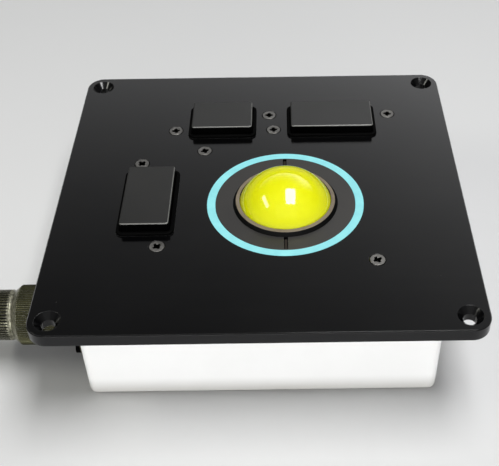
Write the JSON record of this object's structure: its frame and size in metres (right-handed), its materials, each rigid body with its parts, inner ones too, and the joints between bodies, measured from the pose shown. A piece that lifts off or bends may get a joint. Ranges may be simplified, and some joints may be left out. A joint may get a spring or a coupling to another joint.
{
  "type": "panel-mount trackball unit",
  "caption": "Panel-mount trackball unit: flat faceplate with a lit ring round the ball, rectangular push buttons, box enclosure below and a capped circular connector on its side.",
  "frame": {"origin": "centre of the four panel holes, on the faceplate seating (under) face", "axes": "+Z out of the panel towards the operator, +X to the right, +Y away from the operator; the connector is on -X"},
  "size_m": [0.186, 0.154, 0.0604],
  "materials": {
    "plate_anodised": "black satin anodised",
    "screw_black": "blackened steel",
    "seal_rubber": "moulded black rubber",
    "enclosure_white": "white moulded plastic",
    "steel": "zinc plated steel",
    "module_black": "black glass-filled plastic",
    "ball_yellow": "polished solid resin",
    "light_guide": "translucent light guide, lit",
    "circuit_board": "green solder mask",
    "led_white": "surface-mount lamps",
    "ring_anodised": "black satin anodised",
    "wiper_grey": "low-friction grey-brown polymer",
    "disc_black": "black photo-etched disc",
    "chip_black": "moulded epoxy",
    "contact_metal": "gold plated",
    "header_white": "natural nylon",
    "wire_black": "sleeved bundle",
    "connector_olive": "olive drab plated aluminium",
    "insert_grey": "grey insert",
    "button_black": "satin black moulded",
    "spring_steel": "music wire",
    "plunger_red": "acetal"
  },
  "bodies": {
    "unit": {"ball_housing": "module_black", "board_headers": "header_white", "button_leads": "wire_black", "connector_harness": "wire_black", "contact_insert": "insert_grey", "contacts": "contact_metal", "controller_board": "circuit_board", "controller_chips": "chip_black", "controller_screws": "steel", "enclosure": "enclosure_white", "enclosure_gasket": "seal_rubber", "enclosure_posts": "steel", "enclosure_screws": "steel", "encoder_board": "circuit_board", "encoder_board_screws": "steel", "faceplate": "plate_anodised", "flange_gasket": "seal_rubber", "flange_nuts": "screw_black", "flange_screws": "screw_black", "idler_axle": "steel", "interboard_connector": "chip_black", "led_board": "circuit_board", "left_button_frame": "module_black", "left_return_springs": "spring_steel", "left_switch": "chip_black", "light_ring": "light_guide", "module_screws": "screw_black", "optical_sensors": "chip_black", "receptacle_shell": "connector_olive", "ring_leds": "led_white", "switch_terminals": "contact_metal", "upper_left_button_frame": "module_black", "upper_left_return_springs": "spring_steel", "upper_left_switch": "chip_black", "upper_right_button_frame": "module_black", "upper_right_return_springs": "spring_steel", "upper_right_switch": "chip_black", "x_roller_bearings": "steel", "y_roller_bearings": "steel"},
    "ball": {"ball": "ball_yellow"},
    "x_roller": {"x_roller_shaft": "steel", "x_encoder_disc": "disc_black"},
    "y_roller": {"y_roller_shaft": "steel", "y_encoder_disc": "disc_black"},
    "idler": {"idler_bearing": "steel"},
    "retaining_ring": {"retaining_ring": "ring_anodised", "seal_carrier": "seal_rubber", "wiper_seal": "wiper_grey"},
    "connector_cap": {"cap_core": "connector_olive", "cap_shell": "connector_olive", "cap_seal": "seal_rubber"},
    "coupling_ring": {"coupling_ring": "connector_olive"},
    "left_cap": {"left_button_cap": "button_black"},
    "left_plunger": {"left_switch_plunger": "plunger_red"},
    "upper_left_cap": {"upper_left_button_cap": "button_black"},
    "upper_left_plunger": {"upper_left_switch_plunger": "plunger_red"},
    "upper_right_cap": {"upper_right_button_cap": "button_black"},
    "upper_right_plunger": {"upper_right_switch_plunger": "plunger_red"}
  },
  "joints": [
    {"name": "ball_roll", "type": "hinge", "parent": "unit", "child": "ball", "pos_m": [0.0095, -0.0103, -0.00167], "axis": [0, 1, 0], "continuous": true},
    {"name": "x_roller_spin", "type": "hinge", "parent": "unit", "child": "x_roller", "pos_m": [0.02868, -0.0103, -0.01274], "axis": [0, 1, 0], "continuous": true},
    {"name": "y_roller_spin", "type": "hinge", "parent": "unit", "child": "y_roller", "pos_m": [0.0095, 0.00888, -0.01274], "axis": [1, 0, 0], "continuous": true},
    {"name": "idler_spin", "type": "hinge", "parent": "unit", "child": "idler", "pos_m": [-0.00529, -0.02509, -0.01375], "axis": [-0.7071, 0.7071, 0], "continuous": true},
    {"name": "retaining_ring_turn", "type": "hinge", "parent": "unit", "child": "retaining_ring", "pos_m": [0.0095, -0.0103, 0.005], "axis": [0, 0, 1], "range_deg": [0, 30]},
    {"name": "connector_cap_pull", "type": "slide", "parent": "unit", "child": "connector_cap", "axis": [-1, 0, 0], "range_m": [0, 0.02]},
    {"name": "coupling_ring_turn", "type": "hinge", "parent": "connector_cap", "child": "coupling_ring", "pos_m": [-0.08, -0.0426, -0.0215], "axis": [-1, 0, 0], "range_deg": [0, 120]},
    {"name": "left_button_press", "type": "slide", "parent": "unit", "child": "left_cap", "axis": [0, 0, -1], "range_m": [0, 0.0015], "stiffness_N_per_m": 400, "springref_m": -0.004, "deforming": ["left_return_springs"]},
    {"name": "left_plunger_slide", "type": "slide", "parent": "unit", "child": "left_plunger", "axis": [0, 0, -1], "range_m": [0, 0.0015]},
    {"name": "upper_left_button_press", "type": "slide", "parent": "unit", "child": "upper_left_cap", "axis": [0, 0, -1], "range_m": [0, 0.0015], "stiffness_N_per_m": 400, "springref_m": -0.004, "deforming": ["upper_left_return_springs"]},
    {"name": "upper_left_plunger_slide", "type": "slide", "parent": "unit", "child": "upper_left_plunger", "axis": [0, 0, -1], "range_m": [0, 0.0015]},
    {"name": "upper_right_button_press", "type": "slide", "parent": "unit", "child": "upper_right_cap", "axis": [0, 0, -1], "range_m": [0, 0.0015], "stiffness_N_per_m": 400, "springref_m": -0.004, "deforming": ["upper_right_return_springs"]},
    {"name": "upper_right_plunger_slide", "type": "slide", "parent": "unit", "child": "upper_right_plunger", "axis": [0, 0, -1], "range_m": [0, 0.0015]}
  ],
  "couplings": [
    {"joint": "x_roller_spin", "follows": "ball_roll", "ratio": -6.35},
    {"joint": "idler_spin", "follows": "ball_roll", "ratio": -2.6918},
    {"joint": "left_plunger_slide", "follows": "left_button_press", "ratio": 1},
    {"joint": "upper_left_plunger_slide", "follows": "upper_left_button_press", "ratio": 1},
    {"joint": "upper_right_plunger_slide", "follows": "upper_right_button_press", "ratio": 1}
  ]
}
